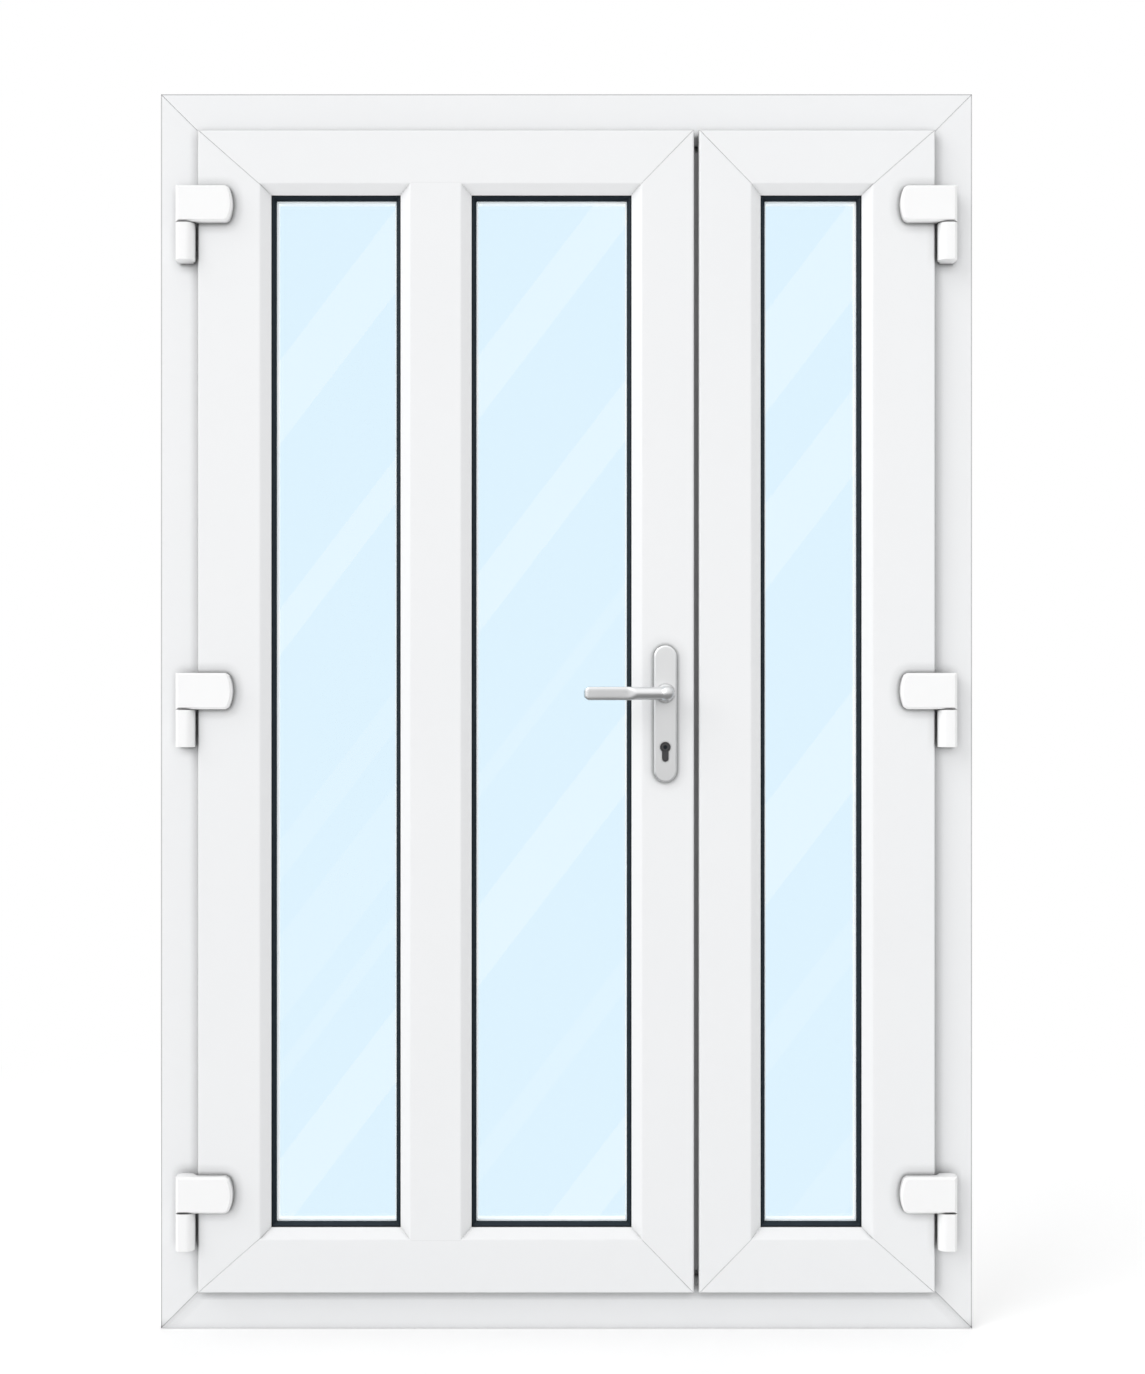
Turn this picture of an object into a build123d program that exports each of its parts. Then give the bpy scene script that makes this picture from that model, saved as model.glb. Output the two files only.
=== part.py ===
from build123d import *
import os

# Front door of welded white profiles: a frame, a wide main leaf with two panes, a narrow
# second leaf with one pane, three barrel hinges a side and a lever handle on a long plate.
# Millimetres. X runs to the right as seen from outside, Y runs inwards and Z runs up.
# The origin is the middle of the frame's underside.

# Frame
FRAME_WIDTH = 1400.0
FRAME_HEIGHT = 2130.0
FRAME_FACE = 75.0           # from the outer edge to the rebate that the leaves sit in
STOP_HEIGHT = 22.0          # the stop behind the leaves, past the rebate
STOP_DEPTH = 16.0
FRAME_ROUND = 3.0
BACK_CHAMFER = 2.0          # along the edges that show inside
WELD_GROOVE = 0.6           # depth of the V along each welded mitre

# Wall fixings through the jambs
FIXING_HOLE = 8.5
FIXING_END = 220.0          # from the frame's ends to the outer fixings
FIXING_COUNT = 4

# Fit of the leaves in the frame
LEAF_OVERLAP = 8.0          # how far a leaf covers the frame's face
LEAF_STAND_OFF = 5.0        # from the frame's face to the back of the leaf's flange
REBATE_GAP = 12.0           # from the rebate to the leaf's body
STOP_GAP = 5.0              # from the leaf's back to the stop
LEAF_GAP = 8.0              # between the two leaves
SEAL_GAP = 0.3              # what every seal and fitted piece leaves free

# Leaves
SECOND_LEAF_WIDTH = 406.0
HINGE_STILE = 125.0
MEETING_STILE = 107.0
RAIL = 110.0
MULLION = 122.0
LEFT_PANE = 222.6
FLANGE_THICKNESS = 16.0
LOCK_LIP = 4.0              # how far the flange stands past the body at the lock
BEVEL_WIDTH = 17.5
BEVEL_DEPTH = 12.0
BEVEL_ROUND = 6.0
EDGE_ROUND = 4.0

# Hardware groove round the leaves' edges
GROOVE_WIDTH = 16.0
GROOVE_STEP = 3.0
GROOVE_NECK = 12.0
GROOVE_DEPTH = 9.0
GROOVE_SETBACK = 22.0       # from the leaf's back to the middle of the groove

# Glazing
GLAZING_LEG = 20.0          # from the leaf's face to the back of the leg that holds the glass
GLAZING_COVER = 20.0        # how far that leg stands past the body
GLASS_COVER = 15.0          # how far the glass reaches behind the leg
GLASS_SHEET = 4.0
GLASS_CAVITY = 16.0
SPACER_WIDTH = 12.0
SPACER_SHOWING = 10.5       # how far the spacer reaches past the leg
GASKET_DEPTH = 4.0
GASKET_TUCK = 8.0           # how far a gasket reaches behind the leg
GASKET_SHOWING = 8.0
GASKET_RISE = 6.0           # how far the front gasket climbs the leg's side
GASKET_CHAMFER = 5.0
BACK_GASKET_SHOWING = 3.0
BEAD_DEPTH = 18.0
BEAD_EDGE = 6.0             # upright part of a bead's side, next to the glass
BEAD_TOP = 8.0              # flat part of a bead's back
BEAD_MITRE_GAP = 0.3

# Seals
STOP_SEAL_WIDTH = 6.0
STOP_SEAL_INSET = 2.0       # from the stop's free edge
FLANGE_SEAL_WIDTH = 5.0
FLANGE_SEAL_INSET = 2.0     # from the flange's free edge

# Meeting cover on the second leaf
COVER_THICKNESS = 16.0      # how far it stands off the meeting stile's body
COVER_BACK_DEPTH = 8.0
COVER_BACK_WIDTH = 34.0
COVER_BACK_SETBACK = 3.0    # the back strip's edge, behind the cover's side face
COVER_END_GAP = 5.0         # from the frame's stop to the cover's ends
COVER_ROUND = 3.0
LIP_ROOT = 8.0
LIP_TIP = 3.0
LIP_SETBACK = 2.0           # from the back of the flanges to the lip
LIP_REACH = 15.0

# Hinges
HINGE_SETOUT = 19.5         # from the leaf's edge to the hinge's axis
HINGE_PROUD = 2.0           # from the leaf's face to the hinge's axis
HINGE_RADIUS = 14.5
HINGE_OUTER = 15.0          # from the axis to the flat outer side
HINGE_BELLY = 2.5           # from the axis to the middle of the round inner side
HINGE_CHAMFER = 5.0
HINGE_LEAF_HEIGHT = 62.0
HINGE_FRAME_HEIGHT = 64.0
HINGE_SPLIT = 0.8
HINGE_PLATE_LENGTH = 82.0   # from the axis to the plate's rounded end
HINGE_PLATE_BOW = 8.0
HINGE_PLATE_CORNER = 4.0
HINGE_FOOT_INNER = 10.5     # from the axis to the foot's inner side
HINGE_EDGE = 3.5            # chamfer round the plate's face
TOP_HINGE_DROP = 162.0      # from the leaf's top to the split of the top hinge
BOTTOM_HINGE_RISE = 141.0
MIDDLE_HINGE_RISE = 3.5     # from the leaf's middle height
PIN_RADIUS = 6.0
PIN_CLEARANCE = 0.08
PIN_CAP = 6.0               # material left over the pin's upper end

# Handle
HANDLE_HEIGHT = 1096.0      # from the frame's underside to the spindle
HANDLE_SETBACK = 50.0       # from the leaf's edge to the spindle
PLATE_WIDTH = 39.0
PLATE_HEIGHT = 234.0
PLATE_RISE = 82.0           # from the spindle to the plate's top
PLATE_THICKNESS = 9.0
PLATE_CHAMFER = 2.5
COLLAR_DIAMETER = 30.0
COLLAR_HEIGHT = 4.0
NECK_DIAMETER = 19.6
BOSS_DIAMETER = 26.0        # round boss where the neck turns into the lever
BOSS_CHAMFER = 2.0
BAR_DIAMETER = 21.6
LEVER_STAND_OFF = 56.0      # from the leaf's face to the lever's middle
LEVER_LENGTH = 138.4
GRIP_THICKNESS = 14.0       # between the grip's two flats
GRIP_START = 52.0           # from the spindle to where the bar starts to flatten
GRIP_RUN_IN = 15.0          # length over which the flats reach their depth
GRIP_END_CHAMFER = 4.0
SPINDLE_SIDE = 8.0
SPINDLE_HOLE = 18.0

# Lock
CYLINDER_DROP = 92.0        # from the spindle to the cylinder's round part
CYLINDER_DIAMETER = 17.0
CYLINDER_TAIL = 10.0
CYLINDER_HEIGHT = 33.0
CYLINDER_PROUD = 2.0
KEYWAY_WIDTH = 2.4
KEYWAY_HEIGHT = 8.5
KEYWAY_DEPTH = 4.0
FACEPLATE_BOTTOM = 300.0
FACEPLATE_TOP = 1830.0
BOLT_WIDTH = 11.0
LATCH_DROP = 21.0           # from the spindle to the latch's middle
LATCH_HEIGHT = 18.0
LATCH_PROUD = 3.0
DEAD_BOLT_DROP = 86.0
DEAD_BOLT_HEIGHT = 32.0
DEAD_BOLT_PROUD = 1.0
STRIKE_WIDTH = 20.0
STRIKE_THICKNESS = 2.0
STRIKE_MARGIN = 22.0        # strike plate past its openings, up and down
STRIKE_PLAY = 3.0           # round each bolt's opening in the strike plate

# Places that follow from the sizes above
LEAF_DEPTH = GLAZING_LEG + 2 * GASKET_DEPTH + 2 * GLASS_SHEET + GLASS_CAVITY + BEAD_DEPTH
FRAME_DEPTH = LEAF_DEPTH - FLANGE_THICKNESS - LEAF_STAND_OFF + STOP_GAP + STOP_DEPTH
FRAME_FRONT = -FRAME_DEPTH / 2
FRAME_BACK = FRAME_DEPTH / 2
FLANGE_BACK = FRAME_FRONT - LEAF_STAND_OFF
LEAF_FRONT = FLANGE_BACK - FLANGE_THICKNESS
LEAF_BACK = LEAF_FRONT + LEAF_DEPTH
LEAF_MIDDLE = (LEAF_FRONT + LEAF_BACK) / 2
STOP_FRONT = LEAF_BACK + STOP_GAP
STOP_EDGE = FRAME_FACE + STOP_HEIGHT
FLANGE_LIP = LEAF_OVERLAP + REBATE_GAP
GROOVE_MIDDLE = LEAF_BACK - GROOVE_SETBACK

LEG_BACK = LEAF_FRONT + GLAZING_LEG
GLASS_FRONT = LEG_BACK + GASKET_DEPTH
CAVITY_FRONT = GLASS_FRONT + GLASS_SHEET
CAVITY_BACK = CAVITY_FRONT + GLASS_CAVITY
GLASS_BACK = CAVITY_BACK + GLASS_SHEET
BEAD_FRONT = GLASS_BACK + GASKET_DEPTH

FRAME_BOX = (-FRAME_WIDTH / 2, FRAME_WIDTH / 2, 0.0, FRAME_HEIGHT)
LEAF_SIDE = FRAME_WIDTH / 2 - FRAME_FACE + LEAF_OVERLAP
LEAF_BOTTOM = FRAME_FACE - LEAF_OVERLAP
LEAF_TOP = FRAME_HEIGHT - FRAME_FACE + LEAF_OVERLAP
SECOND_EDGE = LEAF_SIDE - SECOND_LEAF_WIDTH
MAIN_EDGE = SECOND_EDGE - LEAF_GAP
MAIN_BOX = (-LEAF_SIDE, MAIN_EDGE, LEAF_BOTTOM, LEAF_TOP)
SECOND_BOX = (SECOND_EDGE, LEAF_SIDE, LEAF_BOTTOM, LEAF_TOP)

PANE_BOTTOM = LEAF_BOTTOM + RAIL
PANE_TOP = LEAF_TOP - RAIL
MULLION_LEFT = -LEAF_SIDE + HINGE_STILE + LEFT_PANE
MULLION_RIGHT = MULLION_LEFT + MULLION
PANES = {
    "main_left": (-LEAF_SIDE + HINGE_STILE, MULLION_LEFT, PANE_BOTTOM, PANE_TOP),
    "main_right": (MULLION_RIGHT, MAIN_EDGE - MEETING_STILE, PANE_BOTTOM, PANE_TOP),
    "second": (SECOND_EDGE + MEETING_STILE, LEAF_SIDE - HINGE_STILE, PANE_BOTTOM, PANE_TOP),
}

HINGE_X = LEAF_SIDE + HINGE_SETOUT
HINGE_Y = LEAF_FRONT - HINGE_PROUD
HINGE_HEIGHTS = {
    "bottom": LEAF_BOTTOM + BOTTOM_HINGE_RISE,
    "middle": (LEAF_BOTTOM + LEAF_TOP) / 2 + MIDDLE_HINGE_RISE,
    "top": LEAF_TOP - TOP_HINGE_DROP,
}

HANDLE_X = MAIN_EDGE - HANDLE_SETBACK
CYLINDER_Z = HANDLE_HEIGHT - CYLINDER_DROP
LOCK_FACE = MAIN_EDGE - LOCK_LIP
COVER_FACE = SECOND_EDGE + FLANGE_LIP - COVER_THICKNESS

SIDES = {
    "left": ("bottom", "top"),
    "right": ("bottom", "top"),
    "bottom": ("left", "right"),
    "top": ("left", "right"),
}
EQUAL_WIDTHS = dict.fromkeys(SIDES, 1.0)

pieces = {}


# Mitred bars
def side_plane(side, box):
    """Sketch plane at the start of a side: x runs inwards from the outer edge, y runs along Y."""
    x0, x1, z0, z1 = box
    planes = {
        "left": Plane(origin=(x0, 0, z0), x_dir=(1, 0, 0), z_dir=(0, 0, 1)),
        "right": Plane(origin=(x1, 0, z1), x_dir=(-1, 0, 0), z_dir=(0, 0, -1)),
        "bottom": Plane(origin=(x1, 0, z0), x_dir=(0, 0, 1), z_dir=(-1, 0, 0)),
        "top": Plane(origin=(x0, 0, z1), x_dir=(0, 0, -1), z_dir=(1, 0, 0)),
    }
    return planes[side]


def corner_line(side, end, box, widths):
    """Outer corner where two sides meet, and the step from there to the inner corner."""
    x0, x1, z0, z1 = box
    across, up = (side, end) if side in ("left", "right") else (end, side)
    outer = Vector(x0 if across == "left" else x1, 0, z0 if up == "bottom" else z1)
    step_x = widths[across] if across == "left" else -widths[across]
    step_z = widths[up] if up == "bottom" else -widths[up]
    return outer, Vector(step_x, 0, step_z)


def bar(side, box, section, widths=EQUAL_WIDTHS, mitre_gap=0.0, weld_faces=()):
    """One side of a rectangle with mitred ends. weld_faces are the Y of the faces that show
    a weld groove, each with the direction into the material."""
    x0, x1, z0, z1 = box
    plane = side_plane(side, box)
    length = z1 - z0 if side in ("left", "right") else x1 - x0
    overrun = GLAZING_COVER + GLASS_COVER
    middle = plane.origin + plane.z_dir * (length / 2)
    with BuildPart() as piece:
        with BuildSketch(plane.offset(-overrun)):
            add(section)
        extrude(amount=length + 2 * overrun)
        for end in SIDES[side]:
            corner, step = corner_line(side, end, box, widths)
            facing = step.cross(Vector(0, 1, 0)).normalized()
            if facing.dot(middle - corner) < 0:
                facing = -facing
            split(bisect_by=Plane(corner + facing * (mitre_gap / 2), z_dir=facing), keep=Keep.TOP)
            for y, inwards in weld_faces:
                groove_edge = corner + facing * WELD_GROOVE + Vector(0, y, 0)
                groove_facing = facing + Vector(0, inwards, 0)
                split(bisect_by=Plane(groove_edge, z_dir=groove_facing), keep=Keep.TOP)
    return piece.part


def ring(box, section):
    """Four mitred bars joined into one loop."""
    with BuildPart() as loop:
        for side in SIDES:
            add(bar(side, box, section))
    return loop.part


# Frame
def frame_section():
    with BuildSketch() as section:
        Polygon(
            (0, FRAME_FRONT),
            (FRAME_FACE, FRAME_FRONT),
            (FRAME_FACE, STOP_FRONT),
            (STOP_EDGE, STOP_FRONT),
            (STOP_EDGE, FRAME_BACK),
            (0, FRAME_BACK),
            align=None,
        )
        fillet(vertices().sort_by_distance((FRAME_FACE, FRAME_FRONT))[0], FRAME_ROUND)
        chamfer(vertices().sort_by_distance((STOP_EDGE, STOP_FRONT))[0], BACK_CHAMFER)
        chamfer(vertices().sort_by_distance((STOP_EDGE, FRAME_BACK))[0], BACK_CHAMFER)
    return section.sketch


def frame_bar(side):
    widths = dict.fromkeys(SIDES, STOP_EDGE)
    welds = ((FRAME_FRONT, 1), (FRAME_BACK, -1))
    return bar(side, FRAME_BOX, frame_section(), widths, weld_faces=welds)


def jamb(side):
    """Upright of the frame, with the holes for its wall fixings."""
    fixing_y = (FRAME_FRONT + STOP_FRONT) / 2
    spacing = (FRAME_HEIGHT - 2 * FIXING_END) / (FIXING_COUNT - 1)
    outer_x = -FRAME_WIDTH / 2 if side == "left" else FRAME_WIDTH / 2 - FRAME_FACE
    with BuildPart() as piece:
        add(frame_bar(side))
        with BuildSketch(Plane.YZ.offset(outer_x)):
            with Locations((fixing_y, FRAME_HEIGHT / 2)):
                with GridLocations(0, spacing, 1, FIXING_COUNT):
                    Circle(FIXING_HOLE / 2)
        extrude(amount=FRAME_FACE, mode=Mode.SUBTRACT)
    return piece.part


def stop_seal_section():
    """Seal on the stop's front, just short of the leaves' backs."""
    outer = STOP_EDGE - STOP_SEAL_INSET
    inner = outer - STOP_SEAL_WIDTH
    tip = LEAF_BACK + SEAL_GAP
    with BuildSketch() as section:
        Polygon(
            (inner, tip), (outer, tip), (outer, STOP_FRONT), (inner, STOP_FRONT), align=None
        )
        corner = (STOP_FRONT - tip) / 3
        chamfer(vertices().sort_by_distance((inner, tip))[0], corner)
        chamfer(vertices().sort_by_distance((outer, tip))[0], corner)
    return section.sketch


pieces["frame_head"] = frame_bar("top")
pieces["frame_sill"] = frame_bar("bottom")
pieces["frame_left_jamb"] = jamb("left")
pieces["frame_right_jamb"] = jamb("right")
pieces["frame_seal"] = ring(FRAME_BOX, stop_seal_section())


# Leaf profiles
def leaf_section(width, lip):
    """Profile from the flange's free edge to the glass, with its hardware groove."""
    body = width - GLAZING_COVER
    with BuildSketch() as section:
        Polygon(
            (0, LEAF_FRONT),
            (width - BEVEL_WIDTH, LEAF_FRONT),
            (width, LEAF_FRONT + BEVEL_DEPTH),
            (width, LEG_BACK),
            (body, LEG_BACK),
            (body, LEAF_BACK),
            (lip, LEAF_BACK),
            (lip, FLANGE_BACK),
            (0, FLANGE_BACK),
            align=None,
        )
        fillet(vertices().sort_by_distance((0, LEAF_FRONT))[0], EDGE_ROUND)
        fillet(vertices().sort_by_distance((width - BEVEL_WIDTH, LEAF_FRONT))[0], BEVEL_ROUND)
        chamfer(vertices().sort_by_distance((lip, LEAF_BACK))[0], BACK_CHAMFER)
        with Locations((lip, GROOVE_MIDDLE)):
            sides = (Align.MIN, Align.CENTER)
            Rectangle(GROOVE_STEP, GROOVE_WIDTH, align=sides, mode=Mode.SUBTRACT)
            Rectangle(GROOVE_DEPTH, GROOVE_NECK, align=sides, mode=Mode.SUBTRACT)
    return section.sketch


def leaf_bar(side, box, widths, lip):
    welds = ((LEAF_FRONT, 1), (LEAF_BACK, -1))
    return bar(side, box, leaf_section(widths[side], lip), widths, weld_faces=welds)


def euro_profile(clearance):
    """Outline of the lock cylinder, round above and narrow below, grown by a clearance."""
    tail_radius = CYLINDER_TAIL / 2
    tail_centre = CYLINDER_Z + CYLINDER_DIAMETER / 2 - CYLINDER_HEIGHT + tail_radius
    with BuildSketch() as profile:
        with Locations((HANDLE_X, CYLINDER_Z)):
            Circle(CYLINDER_DIAMETER / 2 + clearance)
            Rectangle(
                CYLINDER_TAIL + 2 * clearance,
                CYLINDER_Z - tail_centre,
                align=(Align.CENTER, Align.MAX),
            )
        with Locations((HANDLE_X, tail_centre)):
            Circle(tail_radius + clearance)
    return profile.sketch


def lock_stile(widths):
    """Main leaf's meeting stile: its body stops short of the frame above and below, and it
    is bored for the spindle and the cylinder."""
    with BuildPart() as piece:
        add(leaf_bar("right", MAIN_BOX, widths, LOCK_LIP))
        for bottom in (LEAF_BOTTOM, LEAF_TOP - FLANGE_LIP):
            with BuildSketch(Plane.XY.offset(bottom)):
                with Locations((MAIN_EDGE, FLANGE_BACK)):
                    Rectangle(MEETING_STILE, LEAF_DEPTH, align=(Align.MAX, Align.MIN))
            extrude(amount=FLANGE_LIP, mode=Mode.SUBTRACT)
        with BuildSketch(Plane.XZ.offset(-LEAF_FRONT)):
            add(euro_profile(SEAL_GAP))
            with Locations((HANDLE_X, HANDLE_HEIGHT)):
                Circle(SPINDLE_HOLE / 2)
        extrude(amount=-LEAF_DEPTH, mode=Mode.SUBTRACT)
    return piece.part


def mullion_section():
    half = MULLION / 2
    body = half - GLAZING_COVER
    middle = (MULLION_LEFT + MULLION_RIGHT) / 2
    with BuildSketch() as section:
        Polygon(
            (middle - half + BEVEL_WIDTH, LEAF_FRONT),
            (middle + half - BEVEL_WIDTH, LEAF_FRONT),
            (middle + half, LEAF_FRONT + BEVEL_DEPTH),
            (middle + half, LEG_BACK),
            (middle + body, LEG_BACK),
            (middle + body, LEAF_BACK),
            (middle - body, LEAF_BACK),
            (middle - body, LEG_BACK),
            (middle - half, LEG_BACK),
            (middle - half, LEAF_FRONT + BEVEL_DEPTH),
            align=None,
        )
        for x in (middle - half + BEVEL_WIDTH, middle + half - BEVEL_WIDTH):
            fillet(vertices().sort_by_distance((x, LEAF_FRONT))[0], BEVEL_ROUND)
    return section.sketch


def mullion(rails):
    """Upright bar between the main leaf's panes, coped over the rails at both ends."""
    bottom = PANE_BOTTOM - GLAZING_COVER
    with BuildPart() as piece:
        with BuildSketch(Plane.XY.offset(bottom)):
            add(mullion_section())
        extrude(amount=PANE_TOP + GLAZING_COVER - bottom)
        for rail in rails:
            add(rail, mode=Mode.SUBTRACT)
    return piece.part


MAIN_WIDTHS = {"left": HINGE_STILE, "right": MEETING_STILE, "top": RAIL, "bottom": RAIL}
SECOND_WIDTHS = {"left": MEETING_STILE, "right": HINGE_STILE, "top": RAIL, "bottom": RAIL}

pieces["main_hinge_stile"] = leaf_bar("left", MAIN_BOX, MAIN_WIDTHS, FLANGE_LIP)
pieces["main_lock_stile"] = lock_stile(MAIN_WIDTHS)
pieces["main_top_rail"] = leaf_bar("top", MAIN_BOX, MAIN_WIDTHS, FLANGE_LIP)
pieces["main_bottom_rail"] = leaf_bar("bottom", MAIN_BOX, MAIN_WIDTHS, FLANGE_LIP)
pieces["main_mullion"] = mullion([pieces["main_top_rail"], pieces["main_bottom_rail"]])
pieces["second_hinge_stile"] = leaf_bar("right", SECOND_BOX, SECOND_WIDTHS, FLANGE_LIP)
pieces["second_meeting_stile"] = leaf_bar("left", SECOND_BOX, SECOND_WIDTHS, FLANGE_LIP)
pieces["second_top_rail"] = leaf_bar("top", SECOND_BOX, SECOND_WIDTHS, FLANGE_LIP)
pieces["second_bottom_rail"] = leaf_bar("bottom", SECOND_BOX, SECOND_WIDTHS, FLANGE_LIP)


# Glazing
def front_gasket_section():
    """Sloped gasket on the outer glass, up against the leg's side."""
    top = LEG_BACK - GASKET_RISE
    with BuildSketch() as section:
        Polygon(
            (-GASKET_TUCK, LEG_BACK),
            (0, LEG_BACK),
            (0, top),
            (GASKET_SHOWING, top),
            (GASKET_SHOWING, GLASS_FRONT),
            (-GASKET_TUCK, GLASS_FRONT),
            align=None,
        )
        chamfer(vertices().sort_by_distance((GASKET_SHOWING, top))[0], GASKET_CHAMFER)
    return section.sketch


def back_gasket_section():
    with BuildSketch() as section:
        Polygon(
            (-GASKET_TUCK, GLASS_BACK),
            (BACK_GASKET_SHOWING, GLASS_BACK),
            (0, BEAD_FRONT),
            (-GASKET_TUCK, BEAD_FRONT),
            align=None,
        )
    return section.sketch


def bead_section():
    """Strip that holds the glass from inside, sloped towards the room."""
    with BuildSketch() as section:
        Polygon(
            (-GLAZING_COVER, BEAD_FRONT),
            (0, BEAD_FRONT),
            (0, BEAD_FRONT + BEAD_EDGE),
            (BEAD_TOP - GLAZING_COVER, LEAF_BACK),
            (-GLAZING_COVER, LEAF_BACK),
            align=None,
        )
    return section.sketch


def spacer_section():
    with BuildSketch() as section:
        Polygon(
            (SPACER_SHOWING - SPACER_WIDTH, CAVITY_FRONT),
            (SPACER_SHOWING, CAVITY_FRONT),
            (SPACER_SHOWING, CAVITY_BACK),
            (SPACER_SHOWING - SPACER_WIDTH, CAVITY_BACK),
            align=None,
        )
    return section.sketch


def glass_sheets(box):
    """Outer and inner sheet of one sealed unit."""
    x0, x1, z0, z1 = box
    with BuildPart() as sheets:
        for front in (GLASS_FRONT, CAVITY_BACK):
            with BuildSketch(Plane.XZ.offset(-front)):
                with Locations(((x0 + x1) / 2, (z0 + z1) / 2)):
                    Rectangle(x1 - x0 + 2 * GLASS_COVER, z1 - z0 + 2 * GLASS_COVER)
            extrude(amount=-GLASS_SHEET)
    return sheets.part


def gaskets(box):
    """Front and back gasket of one pane."""
    with BuildPart() as loops:
        add(ring(box, front_gasket_section()))
        add(ring(box, back_gasket_section()))
    return loops.part


def beads(box):
    """Four loose bars, mitred with a hair gap."""
    with BuildPart() as bars:
        for side in SIDES:
            add(bar(side, box, bead_section(), mitre_gap=BEAD_MITRE_GAP))
    return bars.part


for pane, sight in PANES.items():
    pieces[f"{pane}_glass"] = glass_sheets(sight)
    pieces[f"{pane}_spacer"] = ring(sight, spacer_section())
    pieces[f"{pane}_gaskets"] = gaskets(sight)
    pieces[f"{pane}_beads"] = beads(sight)


# Seals on the leaves' flanges
def flange_seal_section():
    tip = FRAME_FRONT - SEAL_GAP
    inner = FLANGE_SEAL_INSET + FLANGE_SEAL_WIDTH
    with BuildSketch() as section:
        Polygon(
            (FLANGE_SEAL_INSET, FLANGE_BACK),
            (inner, FLANGE_BACK),
            (inner, tip),
            (FLANGE_SEAL_INSET, tip),
            align=None,
        )
        corner = (tip - FLANGE_BACK) / 3
        chamfer(vertices().sort_by_distance((inner, tip))[0], corner)
        chamfer(vertices().sort_by_distance((FLANGE_SEAL_INSET, tip))[0], corner)
    return section.sketch


def flange_seal(box, hinge_side):
    """Seal on three sides of a leaf, open at the meeting edge."""
    x0, x1, z0, z1 = box
    keep_facing = (-1, 0, 0) if hinge_side == "left" else (1, 0, 0)
    meeting_x = x1 - FLANGE_SEAL_INSET if hinge_side == "left" else x0 + FLANGE_SEAL_INSET
    with BuildPart() as piece:
        for side in (hinge_side, "top", "bottom"):
            add(bar(side, box, flange_seal_section()))
        split(bisect_by=Plane((meeting_x, 0, 0), z_dir=keep_facing), keep=Keep.TOP)
    return piece.part


pieces["main_leaf_seal"] = flange_seal(MAIN_BOX, "left")
pieces["second_leaf_seal"] = flange_seal(SECOND_BOX, "right")


# Meeting cover on the second leaf
LATCH_Z = HANDLE_HEIGHT - LATCH_DROP
DEAD_BOLT_Z = HANDLE_HEIGHT - DEAD_BOLT_DROP
STRIKE_BOTTOM = DEAD_BOLT_Z - DEAD_BOLT_HEIGHT / 2 - STRIKE_MARGIN
STRIKE_TOP = LATCH_Z + LATCH_HEIGHT / 2 + STRIKE_MARGIN
COVER_BOTTOM = STOP_EDGE + COVER_END_GAP
COVER_TOP = FRAME_HEIGHT - STOP_EDGE - COVER_END_GAP


def bolt_openings(play):
    """Latch and dead bolt outlines on the lock's face, grown by a play on every side."""
    with BuildSketch() as outlines:
        with Locations((GROOVE_MIDDLE, LATCH_Z)):
            Rectangle(BOLT_WIDTH + 2 * play, LATCH_HEIGHT + 2 * play)
        with Locations((GROOVE_MIDDLE, DEAD_BOLT_Z)):
            Rectangle(BOLT_WIDTH + 2 * play, DEAD_BOLT_HEIGHT + 2 * play)
    return outlines.sketch


def strike_outline():
    with BuildSketch() as outline:
        with Locations((GROOVE_MIDDLE, (STRIKE_BOTTOM + STRIKE_TOP) / 2)):
            Rectangle(STRIKE_WIDTH, STRIKE_TOP - STRIKE_BOTTOM)
    return outline.sketch


def meeting_cover():
    """Profile on the second leaf's meeting edge, with a strip over the joint inside and a
    recess for the strike plate."""
    body = SECOND_EDGE + FLANGE_LIP
    strip_left = COVER_FACE + COVER_BACK_SETBACK
    strip_right = strip_left + COVER_BACK_WIDTH
    strip_back = LEAF_BACK + COVER_BACK_DEPTH
    with BuildPart() as piece:
        with BuildSketch(Plane.XY.offset(COVER_BOTTOM)):
            Polygon(
                (COVER_FACE, FLANGE_BACK),
                (body, FLANGE_BACK),
                (body, LEAF_BACK),
                (strip_right, LEAF_BACK),
                (strip_right, strip_back),
                (strip_left, strip_back),
                (strip_left, LEAF_BACK),
                (COVER_FACE, LEAF_BACK),
                align=None,
            )
            for x in (strip_left, strip_right):
                fillet(vertices().sort_by_distance((x, strip_back))[0], COVER_ROUND)
        extrude(amount=COVER_TOP - COVER_BOTTOM)
        with BuildSketch(Plane.YZ.offset(COVER_FACE)):
            add(strike_outline())
        extrude(amount=STRIKE_THICKNESS, mode=Mode.SUBTRACT)
        with BuildSketch(Plane.YZ.offset(COVER_FACE)):
            add(bolt_openings(STRIKE_PLAY))
        extrude(amount=COVER_THICKNESS, mode=Mode.SUBTRACT)
    return piece.part


def meeting_lip():
    """Soft lip that closes the gap between the leaves, thinner towards its tip."""
    front = FLANGE_BACK + LIP_SETBACK
    tip_x = COVER_FACE - LIP_REACH
    with BuildPart() as piece:
        with BuildSketch(Plane.XY.offset(COVER_BOTTOM)):
            Polygon(
                (tip_x, front),
                (COVER_FACE, front),
                (COVER_FACE, front + LIP_ROOT),
                (tip_x, front + LIP_TIP),
                align=None,
            )
            chamfer(vertices().group_by(Axis.X)[0], LIP_TIP / 3)
        extrude(amount=COVER_TOP - COVER_BOTTOM)
    return piece.part


def strike_plate():
    with BuildPart() as piece:
        with BuildSketch(Plane.YZ.offset(COVER_FACE)):
            add(strike_outline())
            add(bolt_openings(STRIKE_PLAY), mode=Mode.SUBTRACT)
        extrude(amount=STRIKE_THICKNESS)
    return piece.part


pieces["meeting_cover"] = meeting_cover()
pieces["meeting_lip"] = meeting_lip()
pieces["strike_plate"] = strike_plate()


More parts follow.
